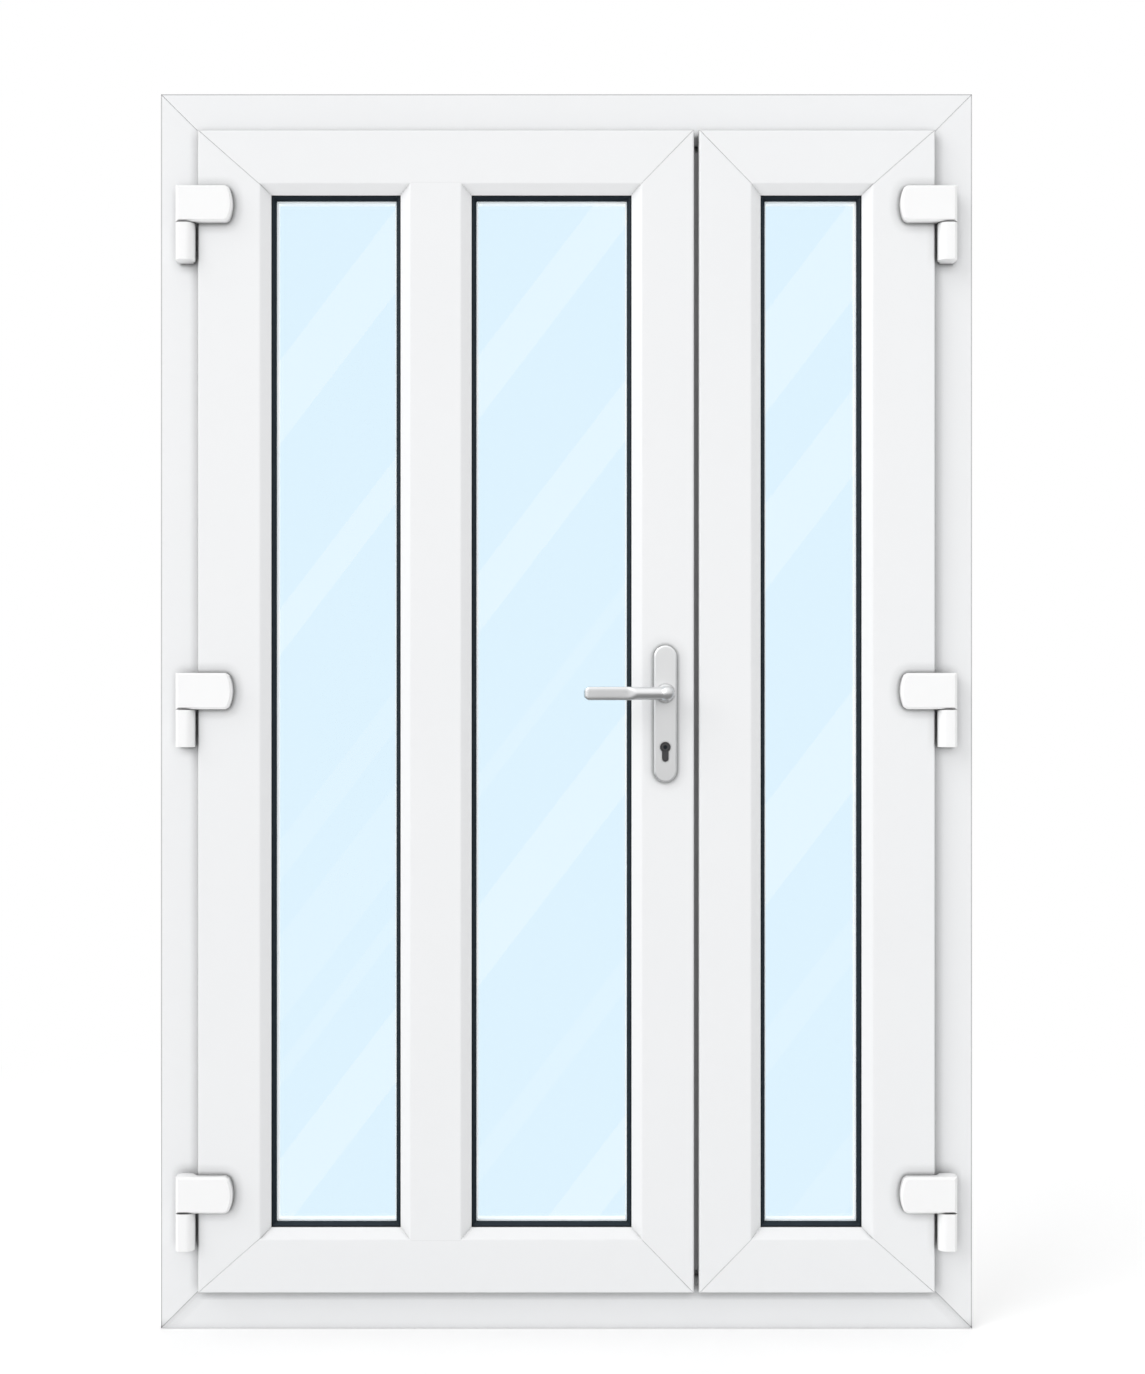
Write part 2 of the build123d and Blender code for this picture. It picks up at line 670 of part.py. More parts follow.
# Hinges, drawn on the left and mirrored to the right
def knuckle_section():
    """Barrel in plan: round towards the leaf, with a flat chamfered outer side."""
    with BuildSketch() as section:
        with Locations((-HINGE_X + HINGE_BELLY, HINGE_Y)):
            Rectangle(HINGE_OUTER + HINGE_BELLY, 2 * HINGE_RADIUS, align=(Align.MAX, Align.CENTER))
        chamfer(vertices().group_by(Axis.X)[0], HINGE_CHAMFER)
        with Locations((-HINGE_X + HINGE_BELLY, HINGE_Y)):
            Circle(HINGE_RADIUS)
    return section.sketch


def hinge_leaf_part(split_z):
    """Upper knuckle, with the plate that lies on the leaf's face."""
    bottom = split_z + HINGE_SPLIT / 2
    top = bottom + HINGE_LEAF_HEIGHT
    plate_end = -HINGE_X + HINGE_PLATE_LENGTH
    plate_shoulder = plate_end - HINGE_PLATE_BOW
    plate_depth = HINGE_RADIUS + HINGE_PROUD
    with BuildPart() as piece:
        with BuildSketch(Plane.XZ.offset(-LEAF_FRONT)):
            with BuildLine():
                Polyline(
                    (plate_shoulder, top), (-HINGE_X, top), (-HINGE_X, bottom), (plate_shoulder, bottom)
                )
                ThreePointArc(
                    (plate_shoulder, bottom),
                    (plate_end, (bottom + top) / 2),
                    (plate_shoulder, top),
                )
            make_face()
            for z in (bottom, top):
                chamfer(vertices().sort_by_distance((plate_shoulder, z))[0], HINGE_PLATE_CORNER)
        extrude(amount=plate_depth)
        with BuildSketch(Plane.XY.offset(bottom)):
            add(knuckle_section())
        extrude(amount=HINGE_LEAF_HEIGHT)
        face_edges = edges().group_by(Axis.Y)[0]
        chamfer(face_edges.filter_by(Axis.Z, reverse=True), HINGE_EDGE)
        with BuildSketch(Plane.XY.offset(bottom)):
            with Locations((-HINGE_X, HINGE_Y)):
                Circle(PIN_RADIUS + PIN_CLEARANCE)
        extrude(amount=HINGE_LEAF_HEIGHT - PIN_CAP, mode=Mode.SUBTRACT)
    return piece.part


def hinge_frame_part(split_z):
    """Lower knuckle, on a foot that stands on the frame's face."""
    top = split_z - HINGE_SPLIT / 2
    bottom = top - HINGE_FRAME_HEIGHT
    with BuildPart() as piece:
        with BuildSketch(Plane.XY.offset(bottom)):
            add(knuckle_section())
            with Locations((-HINGE_X - HINGE_OUTER, HINGE_Y)):
                Rectangle(
                    HINGE_OUTER + HINGE_FOOT_INNER, FRAME_FRONT - HINGE_Y, align=Align.MIN
                )
        extrude(amount=HINGE_FRAME_HEIGHT)
    return piece.part


def mirrored(part):
    with BuildPart() as copy:
        mirror(part, about=Plane.YZ)
    return copy.part


with BuildPart() as hinge_pins:
    for split_z in HINGE_HEIGHTS.values():
        with BuildSketch(Plane.XY.offset(split_z - HINGE_SPLIT / 2)):
            with Locations((-HINGE_X, HINGE_Y), (HINGE_X, HINGE_Y)):
                Circle(PIN_RADIUS)
        extrude(amount=HINGE_SPLIT + HINGE_LEAF_HEIGHT - PIN_CAP - SEAL_GAP)
pieces["hinge_pins"] = hinge_pins.part

for level, split_z in HINGE_HEIGHTS.items():
    leaf_part = hinge_leaf_part(split_z)
    frame_part = hinge_frame_part(split_z)
    pieces[f"left_{level}_hinge_leaf"] = leaf_part
    pieces[f"left_{level}_hinge_frame"] = frame_part
    pieces[f"right_{level}_hinge_leaf"] = mirrored(leaf_part)
    pieces[f"right_{level}_hinge_frame"] = mirrored(frame_part)


# Handle
def handle_plate():
    """Outside plate: a long slot shape with a collar for the lever, cut for the cylinder."""
    front = LEAF_FRONT - PLATE_THICKNESS
    with BuildPart() as piece:
        with BuildSketch(Plane.XZ.offset(-LEAF_FRONT)):
            with Locations((HANDLE_X, HANDLE_HEIGHT + PLATE_RISE - PLATE_HEIGHT / 2)):
                SlotOverall(PLATE_HEIGHT, PLATE_WIDTH, rotation=90)
        extrude(amount=PLATE_THICKNESS)
        chamfer(faces().sort_by(Axis.Y)[0].edges(), PLATE_CHAMFER)
        with BuildSketch(Plane.XZ.offset(-front)):
            with Locations((HANDLE_X, HANDLE_HEIGHT)):
                Circle(COLLAR_DIAMETER / 2)
        extrude(amount=COLLAR_HEIGHT)
        with BuildSketch(Plane.XZ.offset(-LEAF_FRONT)):
            add(euro_profile(SEAL_GAP))
            with Locations((HANDLE_X, HANDLE_HEIGHT)):
                Circle(NECK_DIAMETER / 2 + SEAL_GAP)
        extrude(amount=PLATE_THICKNESS + COLLAR_HEIGHT, mode=Mode.SUBTRACT)
    return piece.part


def lever():
    """Outside lever: a round neck with a boss at the corner, and a round bar that points at
    the hinges and is flattened front and back into a grip."""
    neck_y = LEAF_FRONT - SEAL_GAP
    lever_y = LEAF_FRONT - LEVER_STAND_OFF
    boss = BOSS_DIAMETER / 2
    bar_radius = BAR_DIAMETER / 2
    flat = GRIP_THICKNESS / 2
    flat_full = GRIP_START + GRIP_RUN_IN
    flat_run_out = GRIP_RUN_IN * (boss - flat) / (bar_radius - flat)
    corner = Vector(HANDLE_X, lever_y, HANDLE_HEIGHT)
    along = Plane(corner, x_dir=(-1, 0, 0), z_dir=(0, 0, 1))
    with BuildPart() as piece:
        with BuildSketch(Plane.XZ.offset(-lever_y)):
            with Locations((HANDLE_X, HANDLE_HEIGHT)):
                Circle(boss)
        extrude(amount=boss, both=True)
        chamfer(faces().sort_by(Axis.Y)[0].edges(), BOSS_CHAMFER)
        with BuildSketch(Plane.XZ.offset(-neck_y)):
            with Locations((HANDLE_X, HANDLE_HEIGHT)):
                Circle(NECK_DIAMETER / 2)
        extrude(amount=neck_y - lever_y)
        with BuildSketch(Plane(corner, z_dir=(-1, 0, 0))):
            Circle(bar_radius)
        extrude(amount=LEVER_LENGTH)
        chamfer(faces().sort_by(Axis.X)[0].edges(), GRIP_END_CHAMFER)
        for face in (1, -1):
            with BuildSketch(along):
                Polygon(
                    (flat_full - flat_run_out, face * boss),
                    (flat_full, face * flat),
                    (LEVER_LENGTH, face * flat),
                    (LEVER_LENGTH, face * boss),
                    align=None,
                )
            extrude(amount=boss, both=True, mode=Mode.SUBTRACT)
    return piece.part


def inside(part):
    """The same piece on the inside of the leaf."""
    with BuildPart() as copy:
        mirror(part, about=Plane.XZ.offset(-LEAF_MIDDLE))
    return copy.part


with BuildPart() as spindle:
    with BuildSketch(Plane.XZ.offset(SEAL_GAP - LEAF_FRONT)):
        with Locations((HANDLE_X, HANDLE_HEIGHT)):
            Rectangle(SPINDLE_SIDE, SPINDLE_SIDE)
    extrude(amount=-LEAF_DEPTH - 2 * SEAL_GAP)
pieces["spindle"] = spindle.part

pieces["front_handle_plate"] = handle_plate()
pieces["back_handle_plate"] = inside(pieces["front_handle_plate"])
pieces["front_lever"] = lever()
pieces["back_lever"] = inside(pieces["front_lever"])


# Lock
def lock_cylinder():
    """Cylinder through the leaf and both plates, with a keyway at each end."""
    half_length = LEAF_DEPTH / 2 + PLATE_THICKNESS + CYLINDER_PROUD
    with BuildPart() as piece:
        with BuildSketch(Plane.XZ.offset(-LEAF_MIDDLE)):
            add(euro_profile(0))
        extrude(amount=half_length, both=True)
        for mouth, direction in ((LEAF_MIDDLE - half_length, -1), (LEAF_MIDDLE + half_length, 1)):
            with BuildSketch(Plane.XZ.offset(-mouth)):
                with Locations((HANDLE_X, CYLINDER_Z)):
                    Rectangle(KEYWAY_WIDTH, KEYWAY_HEIGHT)
            extrude(amount=direction * KEYWAY_DEPTH, mode=Mode.SUBTRACT)
    return piece.part


def lock_faceplate():
    """Long strip in the stile's groove, cut for the latch and the dead bolt."""
    length = FACEPLATE_TOP - FACEPLATE_BOTTOM
    with BuildPart() as piece:
        with BuildSketch(Plane.YZ.offset(LOCK_FACE - GROOVE_STEP)):
            with Locations((GROOVE_MIDDLE, (FACEPLATE_BOTTOM + FACEPLATE_TOP) / 2)):
                SlotOverall(length, GROOVE_WIDTH - 2 * SEAL_GAP, rotation=90)
            add(bolt_openings(SEAL_GAP), mode=Mode.SUBTRACT)
        extrude(amount=GROOVE_STEP - SEAL_GAP)
    return piece.part


def lock_bolts():
    """Sprung latch with a sloped nose, and a dead bolt that is drawn back."""
    root = LOCK_FACE - GROOVE_DEPTH
    with BuildPart() as bolts:
        with BuildSketch(Plane.YZ.offset(root)):
            with Locations((GROOVE_MIDDLE, LATCH_Z)):
                Rectangle(BOLT_WIDTH, LATCH_HEIGHT)
        extrude(amount=GROOVE_DEPTH + LATCH_PROUD)
        nose = faces().sort_by(Axis.X)[-1].edges().filter_by(Axis.Z).sort_by(Axis.Y)[0]
        chamfer(nose, LATCH_PROUD)
        with BuildSketch(Plane.YZ.offset(root)):
            with Locations((GROOVE_MIDDLE, DEAD_BOLT_Z)):
                Rectangle(BOLT_WIDTH, DEAD_BOLT_HEIGHT)
        extrude(amount=GROOVE_DEPTH + DEAD_BOLT_PROUD)
    return bolts.part


pieces["lock_cylinder"] = lock_cylinder()
pieces["lock_faceplate"] = lock_faceplate()
pieces["lock_bolts"] = lock_bolts()


# Files
os.makedirs("parts", exist_ok=True)
for name, part in pieces.items():
    part.label = name
    export_step(part, f"parts/{name}.step")
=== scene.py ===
import math

import bmesh
import bpy
from mathutils import Matrix, Vector


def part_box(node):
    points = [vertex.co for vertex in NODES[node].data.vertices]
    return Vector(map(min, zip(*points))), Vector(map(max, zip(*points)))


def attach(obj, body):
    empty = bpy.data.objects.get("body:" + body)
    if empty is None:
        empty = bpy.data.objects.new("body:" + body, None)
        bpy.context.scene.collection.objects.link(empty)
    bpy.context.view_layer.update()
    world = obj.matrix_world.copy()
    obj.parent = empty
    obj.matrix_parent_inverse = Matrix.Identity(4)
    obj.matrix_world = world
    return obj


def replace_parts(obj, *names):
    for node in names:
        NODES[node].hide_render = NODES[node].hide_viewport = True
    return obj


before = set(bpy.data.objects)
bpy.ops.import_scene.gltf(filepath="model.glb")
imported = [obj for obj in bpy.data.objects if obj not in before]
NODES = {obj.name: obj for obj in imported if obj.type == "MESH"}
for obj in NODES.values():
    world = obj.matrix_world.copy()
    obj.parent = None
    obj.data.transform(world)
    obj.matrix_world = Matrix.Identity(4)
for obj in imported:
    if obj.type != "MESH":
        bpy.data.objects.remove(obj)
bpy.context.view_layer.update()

MM = 0.001
SCENE = bpy.context.scene


def box_of(first, last):
    """Box from one node's lowest corner to another's highest."""
    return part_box(first)[0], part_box(last)[1]


# Sizes and places read from the frame
WHOLE_FRAME = box_of("frame_left_jamb", "frame_right_jamb")
BOTH_LEAVES = box_of("main_hinge_stile", "second_hinge_stile")
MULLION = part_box("main_mullion")
FRAME_LOW, FRAME_HIGH = WHOLE_FRAME
FRAME_WIDTH = FRAME_HIGH.x - FRAME_LOW.x
FRAME_MIDDLE_X = (FRAME_LOW.x + FRAME_HIGH.x) / 2
FRAME_MIDDLE_Z = (FRAME_LOW.z + FRAME_HIGH.z) / 2
FRAME_FRONT = FRAME_LOW.y
LEAF_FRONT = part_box("main_lock_stile")[0].y
LEAF_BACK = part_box("main_lock_stile")[1].y
LEAF_MIDDLE = (LEAF_FRONT + LEAF_BACK) / 2
PLATE_LOW, PLATE_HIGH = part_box("front_handle_plate")
LEVER_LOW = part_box("front_lever")[0]
SPINDLE_LOW, SPINDLE_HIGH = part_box("spindle")
HANDLE_X = (SPINDLE_LOW.x + SPINDLE_HIGH.x) / 2
HANDLE_Z = (SPINDLE_LOW.z + SPINDLE_HIGH.z) / 2
CYLINDER_LOW, CYLINDER_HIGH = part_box("lock_cylinder")
PANES = ("main_left", "main_right", "second")

# Photograph: its size, and where the frame lies in it
PHOTO_WIDTH = 1145
PHOTO_HEIGHT = 1374
FRAME_PIXELS = 811
FRAME_MIDDLE_PIXEL_X = 566.5
FRAME_MIDDLE_PIXEL_Z = 711.25
METRES_PER_PIXEL = FRAME_WIDTH / FRAME_PIXELS
CAMERA_DISTANCE = 3.0       # from the frame's front face
SENSOR_WIDTH = 36.0

# Light
WHITE = (1.0, 1.0, 1.0, 1.0)
KEY_LEVEL = 0.34            # share of a white surface's brightness that faces the key light
KEY_FROM = Vector((-0.68, -0.50, 0.53))
BACK_LEVEL = 0.14
BACK_FROM = Vector((0.0, 0.80, 0.60))
SUN_ANGLE = 48.0
AMBIENT_LEVEL = 0.76
SHEEN_FROM = Vector((-0.50, -0.30, 0.81))   # where satin metal mirrors the brightest shade
SHEEN_DARK = 0.40
SHEEN_BRIGHT = 1.45


# Camera
def straight_on_camera():
    lens_data = bpy.data.cameras.new("straight_on")
    camera = bpy.data.objects.new("straight_on", lens_data)
    SCENE.collection.objects.link(camera)
    across = (PHOTO_WIDTH / 2 - FRAME_MIDDLE_PIXEL_X) * METRES_PER_PIXEL
    up = (FRAME_MIDDLE_PIXEL_Z - PHOTO_HEIGHT / 2) * METRES_PER_PIXEL
    camera.location = (FRAME_MIDDLE_X + across, FRAME_FRONT - CAMERA_DISTANCE, FRAME_MIDDLE_Z + up)
    camera.rotation_euler = (math.radians(90), 0, 0)
    half_height = PHOTO_HEIGHT / 2 * METRES_PER_PIXEL
    lens_data.sensor_fit = "AUTO"
    lens_data.sensor_width = SENSOR_WIDTH
    lens_data.lens = SENSOR_WIDTH / 2 * CAMERA_DISTANCE / half_height
    SCENE.camera = camera
    return camera


# Shader nodes
def calc(nodes, links, operation, *values, clamp=False):
    """Math node fed by sockets or plain numbers."""
    node = nodes.new("ShaderNodeMath")
    node.operation = operation
    node.use_clamp = clamp
    for socket, value in zip(node.inputs, values):
        if isinstance(value, bpy.types.NodeSocket):
            links.new(value, socket)
        else:
            socket.default_value = value
    return node.outputs[0]


def spread(nodes, links, value, low, high, start=0.0, end=1.0, smooth=False):
    """Runs from low to high while the value runs from start to end."""
    node = nodes.new("ShaderNodeMapRange")
    if smooth:
        node.interpolation_type = "SMOOTHSTEP"
    node.inputs["From Min"].default_value = start
    node.inputs["From Max"].default_value = end
    node.inputs["To Min"].default_value = low
    node.inputs["To Max"].default_value = high
    links.new(value, node.inputs["Value"])
    return node.outputs["Result"]


def mixed(nodes, links, share, first, second):
    """Shader that turns from the first into the second as the share rises to 1."""
    node = nodes.new("ShaderNodeMixShader")
    links.new(share, node.inputs[0])
    links.new(first, node.inputs[1])
    links.new(second, node.inputs[2])
    return node.outputs[0]


def ray_mask(nodes, links, *kinds):
    """1 for rays of the named kinds, else 0."""
    path = nodes.new("ShaderNodeLightPath")
    total = path.outputs[kinds[0]]
    for kind in kinds[1:]:
        total = calc(nodes, links, "ADD", total, path.outputs[kind], clamp=True)
    return total


def soft_mirror_mask(nodes, links):
    """1 for blurred reflections, as in satin metal, and 0 for sharp ones, as in glass."""
    path = nodes.new("ShaderNodeLightPath")
    glossy = path.outputs["Is Glossy Ray"]
    sharp = path.outputs["Is Singular Ray"]
    return calc(nodes, links, "SUBTRACT", glossy, sharp, clamp=True)


# Studio
def studio_world():
    """White where it is seen, mirrored or looked through, and a softer level as light.
    Satin metal mirrors a shade that falls off from the upper left."""
    world = bpy.data.worlds.new("studio")
    SCENE.world = world
    world.use_nodes = True
    nodes, links = world.node_tree.nodes, world.node_tree.links
    nodes.clear()
    ambient = nodes.new("ShaderNodeBackground")
    ambient.inputs["Color"].default_value = WHITE
    ambient.inputs["Strength"].default_value = AMBIENT_LEVEL
    white = nodes.new("ShaderNodeBackground")
    white.inputs["Color"].default_value = WHITE
    white.inputs["Strength"].default_value = 1.0
    seen = ray_mask(nodes, links, "Is Camera Ray", "Is Glossy Ray", "Is Transmission Ray")
    plain = mixed(nodes, links, seen, ambient.outputs[0], white.outputs[0])

    direction = nodes.new("ShaderNodeTexCoord")
    facing = nodes.new("ShaderNodeVectorMath")
    facing.operation = "DOT_PRODUCT"
    facing.inputs[1].default_value = SHEEN_FROM.normalized()
    links.new(direction.outputs["Generated"], facing.inputs[0])
    level = spread(nodes, links, facing.outputs["Value"], SHEEN_DARK, SHEEN_BRIGHT, start=-1.0)
    sheen = nodes.new("ShaderNodeBackground")
    sheen.inputs["Color"].default_value = WHITE
    links.new(level, sheen.inputs["Strength"])
    whole = mixed(nodes, links, soft_mirror_mask(nodes, links), plain, sheen.outputs[0])
    output = nodes.new("ShaderNodeOutputWorld")
    links.new(whole, output.inputs[0])


def soft_sun(name, level, towards):
    """Distant lamp, bright enough to show a facing white surface at this level."""
    lamp = bpy.data.lights.new(name, "SUN")
    lamp.energy = level * math.pi
    lamp.angle = math.radians(SUN_ANGLE)
    sun = bpy.data.objects.new(name, lamp)
    sun.rotation_mode = "QUATERNION"
    sun.rotation_quaternion = towards.normalized().to_track_quat("Z", "Y")
    sun.visible_transmission = False
    SCENE.collection.objects.link(sun)


FLOOR_HALF = 15.0
FLOOR_DROP = 0.5 * MM
FLOOR_PALE = 0.90
FLOOR_LIFT = 0.16           # raises the floor to white where no shadow falls
FLOOR_SHEEN = 0.32          # how bright satin metal mirrors it
FLOOR_NEAR = 1.0            # from the origin to where the floor starts to turn white
FLOOR_FAR = 2.6


def floor_material():
    material = bpy.data.materials.new("studio_floor")
    material.use_nodes = True
    nodes, links = material.node_tree.nodes, material.node_tree.links
    nodes.clear()
    camera_ray = ray_mask(nodes, links, "Is Camera Ray")
    indirect_view = ray_mask(nodes, links, "Is Glossy Ray", "Is Transmission Ray")

    pale = nodes.new("ShaderNodeBsdfDiffuse")
    pale.inputs["Color"].default_value = (FLOOR_PALE, FLOOR_PALE, FLOOR_PALE, 1.0)
    lift_glow = nodes.new("ShaderNodeEmission")
    links.new(calc(nodes, links, "MULTIPLY", camera_ray, FLOOR_LIFT), lift_glow.inputs["Strength"])
    near = nodes.new("ShaderNodeAddShader")
    links.new(pale.outputs[0], near.inputs[0])
    links.new(lift_glow.outputs[0], near.inputs[1])

    place = nodes.new("ShaderNodeTexCoord")
    distance = nodes.new("ShaderNodeVectorMath")
    distance.operation = "LENGTH"
    links.new(place.outputs["Object"], distance.inputs[0])
    far = spread(nodes, links, distance.outputs["Value"], 0.0, 1.0, FLOOR_NEAR, FLOOR_FAR, smooth=True)
    far_seen = calc(nodes, links, "MULTIPLY_ADD", far, camera_ray, indirect_view, clamp=True)

    white = nodes.new("ShaderNodeEmission")
    glow = spread(nodes, links, soft_mirror_mask(nodes, links), 1.0, FLOOR_SHEEN)
    links.new(glow, white.inputs["Strength"])
    output = nodes.new("ShaderNodeOutputMaterial")
    links.new(mixed(nodes, links, far_seen, near.outputs[0], white.outputs[0]), output.inputs[0])
    return material


def studio_floor():
    """Pale floor that keeps the door's shadow and turns plain white further out."""
    bm = bmesh.new()
    bmesh.ops.create_grid(bm, x_segments=1, y_segments=1, size=FLOOR_HALF)
    bmesh.ops.translate(bm, verts=bm.verts, vec=(0, 0, FRAME_LOW.z - FLOOR_DROP))
    floor = mesh_object("studio_floor", bm, floor_material())


# Layers of a finish
CORNER_SAMPLES = 2
CORNER_SHUT = 0.40          # openness at which a corner is darkest
CORNER_OPEN = 0.94          # openness from which a surface keeps its colour
DRAWN_OUT = 0.02            # how much extrusion and brushing draw a grain out
ALONG = {
    "upright": (1.0, 1.0, DRAWN_OUT),
    "crosswise": (DRAWN_OUT, 1.0, 1.0),
}


def finish(name):
    material = bpy.data.materials.new(name)
    material.use_nodes = True
    tree = material.node_tree
    return material, tree.nodes, tree.links, tree.nodes["Principled BSDF"]


def grain(nodes, links, scale, detail=2.0, stretch=(1.0, 1.0, 1.0)):
    """Noise in the object's own place; a stretch under 1 draws it out along that axis."""
    place = nodes.new("ShaderNodeTexCoord")
    mapping = nodes.new("ShaderNodeMapping")
    mapping.inputs["Scale"].default_value = stretch
    noise = nodes.new("ShaderNodeTexNoise")
    noise.inputs["Scale"].default_value = scale
    noise.inputs["Detail"].default_value = detail
    links.new(place.outputs["Object"], mapping.inputs["Vector"])
    links.new(mapping.outputs["Vector"], noise.inputs["Vector"])
    return noise.outputs["Fac"]


def painted_corner_shade(nodes, links, reach, darkest, lift):
    """Painted shade: 1 on an open surface, falling towards the darkest value in a corner."""
    corners = nodes.new("ShaderNodeAmbientOcclusion")
    corners.samples = CORNER_SAMPLES
    corners.inputs["Distance"].default_value = reach
    if lift:
        surface = nodes.new("ShaderNodeNewGeometry")
        upwards = nodes.new("ShaderNodeVectorMath")
        upwards.inputs[1].default_value = (0.0, 0.0, lift)
        links.new(surface.outputs["Normal"], upwards.inputs[0])
        unit = nodes.new("ShaderNodeVectorMath")
        unit.operation = "NORMALIZE"
        links.new(upwards.outputs[0], unit.inputs[0])
        links.new(unit.outputs[0], corners.inputs["Normal"])
    return spread(nodes, links, corners.outputs["AO"], darkest, 1.0, CORNER_SHUT, CORNER_OPEN)


def shade_and_joint_line(nodes, links, box, axes, width, tone, corner):
    """1 on an open face, and a darker tone in a thin line where the box ends along the axes: painted
    shade along the outer edges of the frame, sill and leaves, and a dark joint line at the mullion's
    ends.
    The line lies on the box's front and back edges, which are rounded by the corner's radius."""
    low, high = box
    place = nodes.new("ShaderNodeTexCoord")
    split = nodes.new("ShaderNodeSeparateXYZ")
    links.new(place.outputs["Object"], split.inputs[0])
    inwards = []
    for axis in range(3):
        offset = calc(nodes, links, "SUBTRACT", split.outputs[axis], (low[axis] + high[axis]) / 2)
        distance = calc(nodes, links, "ABSOLUTE", offset)
        inwards.append(calc(nodes, links, "SUBTRACT", (high[axis] - low[axis]) / 2, distance))
    nearest = inwards[axes[0]]
    for axis in axes[1:]:
        nearest = calc(nodes, links, "MINIMUM", nearest, inwards[axis])
    behind = calc(nodes, links, "SUBTRACT", inwards[1], corner)
    nearest = calc(nodes, links, "MAXIMUM", nearest, behind)
    return spread(nodes, links, nearest, tone, 1.0, width / 2, width)


def tint(nodes, links, bsdf, factor, low, high, shades=()):
    """Base colour that drifts between two tones, and is darkened by each of the shades."""
    tone = nodes.new("ShaderNodeMix")
    tone.data_type = "RGBA"
    tone.inputs["A"].default_value = (*low, 1.0)
    tone.inputs["B"].default_value = (*high, 1.0)
    links.new(factor, tone.inputs["Factor"])
    colour = tone.outputs["Result"]
    for darkening in shades:
        darker = nodes.new("ShaderNodeVectorMath")
        darker.operation = "SCALE"
        links.new(colour, darker.inputs[0])
        links.new(darkening, darker.inputs["Scale"])
        colour = darker.outputs[0]
    links.new(colour, bsdf.inputs["Base Color"])


def sheen_range(nodes, links, bsdf, factor, low, high):
    """Roughness between two values."""
    links.new(spread(nodes, links, factor, low, high), bsdf.inputs["Roughness"])


def relief(nodes, links, bsdf, height, strength, depth):
    bump = nodes.new("ShaderNodeBump")
    bump.inputs["Strength"].default_value = strength
    bump.inputs["Distance"].default_value = depth
    links.new(height, bump.inputs["Height"])
    links.new(bump.outputs["Normal"], bsdf.inputs["Normal"])


# Painted shade in corners: how far a surface looks for neighbours, how dark it turns there, and how far
# up it looks
CORNERS = {
    "upright": ((7.0 * MM, 0.20, 0.0), (20.0 * MM, 0.55, 0.0)),
    "crosswise": ((7.0 * MM, 0.20, 0.0), (14.0 * MM, 0.75, 0.0)),
    "sill": ((7.0 * MM, 0.35, 0.9), (20.0 * MM, 0.55, 0.9)),
    "metal": ((4.0 * MM, 0.35, 0.0),),
    "gasket": ((4.0 * MM, 0.0, 0.0), (7.0 * MM, 0.0, 0.0)),
}

# Painted shade lines along the outer edges of the frame, sill and leaves, and dark joint lines at the
# mullion's ends: the box they end, the axes it ends along, their width and tone, and its corner's radius
SHADE_AND_JOINT_LINES = {
    "frame": (WHOLE_FRAME, (0, 2), 2.2 * MM, 0.54, 0.0),
    "sill": (WHOLE_FRAME, (0,), 2.2 * MM, 0.54, 0.0),
    "mullion": (MULLION, (2,), 1.2 * MM, 0.72, 0.0),
    "leaf": (BOTH_LEAVES, (0, 2), 2.4 * MM, 0.58, 4.0 * MM),
}


# Finishes
def profile_plastic(part, direction):
    """White plastic with faint die lines along the bar and a satin skin, darkened by painted shade in
    its corners; the frame, sill and leaves also get a painted shade line along their outer edges, and
    the mullion a dark joint line at its ends.
    """
    material, nodes, links, bsdf = finish(f"{part}_{direction}_plastic")
    shades = [painted_corner_shade(nodes, links, *corner) for corner in CORNERS.get(part, CORNERS[direction])]
    if part in SHADE_AND_JOINT_LINES:
        shades.append(shade_and_joint_line(nodes, links, *SHADE_AND_JOINT_LINES[part]))
    drift = grain(nodes, links, scale=2.4)
    tint(nodes, links, bsdf, drift, (0.876, 0.885, 0.896), (0.904, 0.911, 0.920), shades)
    sheen_range(nodes, links, bsdf, grain(nodes, links, scale=70.0, detail=3.0), low=0.30, high=0.40)
    die_lines = grain(nodes, links, scale=650.0, stretch=ALONG[direction])
    relief(nodes, links, bsdf, die_lines, strength=0.05, depth=0.2 * MM)
    return material


def hinge_paint():
    """Bright white coating with a fine orange-peel skin, darkened by painted shade in its corners."""
    material, nodes, links, bsdf = finish("hinge_paint")
    shades = [painted_corner_shade(nodes, links, *corner) for corner in CORNERS["upright"]]
    drift = grain(nodes, links, scale=9.0)
    tint(nodes, links, bsdf, drift, (0.955, 0.957, 0.960), (0.972, 0.973, 0.975), shades)
    sheen_range(nodes, links, bsdf, grain(nodes, links, scale=120.0), low=0.26, high=0.34)
    relief(nodes, links, bsdf, grain(nodes, links, scale=420.0), strength=0.06, depth=0.2 * MM)
    return material


def rubber(name, low, high, corners=()):
    """Matt rubber with a fine grain, darkened by painted shade in the corners that it looks for."""
    material, nodes, links, bsdf = finish(name)
    shades = [painted_corner_shade(nodes, links, *corner) for corner in corners]
    bsdf.inputs["Specular IOR Level"].default_value = 0.2
    tint(nodes, links, bsdf, grain(nodes, links, scale=40.0, detail=4.0), low, high, shades)
    sheen_range(nodes, links, bsdf, grain(nodes, links, scale=300.0), low=0.42, high=0.56)
    relief(nodes, links, bsdf, grain(nodes, links, scale=1800.0), strength=0.12, depth=0.1 * MM)
    return material


def tinted_glass():
    """Pale blue float glass with a trace of waviness."""
    material, nodes, links, bsdf = finish("tinted_glass")
    bsdf.inputs["Base Color"].default_value = (0.850, 0.945, 1.0, 1.0)
    bsdf.inputs["Transmission Weight"].default_value = 1.0
    bsdf.inputs["IOR"].default_value = 1.45
    bsdf.inputs["Roughness"].default_value = 0.0
    waves = grain(nodes, links, scale=5.0, detail=0.0)
    relief(nodes, links, bsdf, waves, strength=0.006, depth=0.2 * MM)
    return material


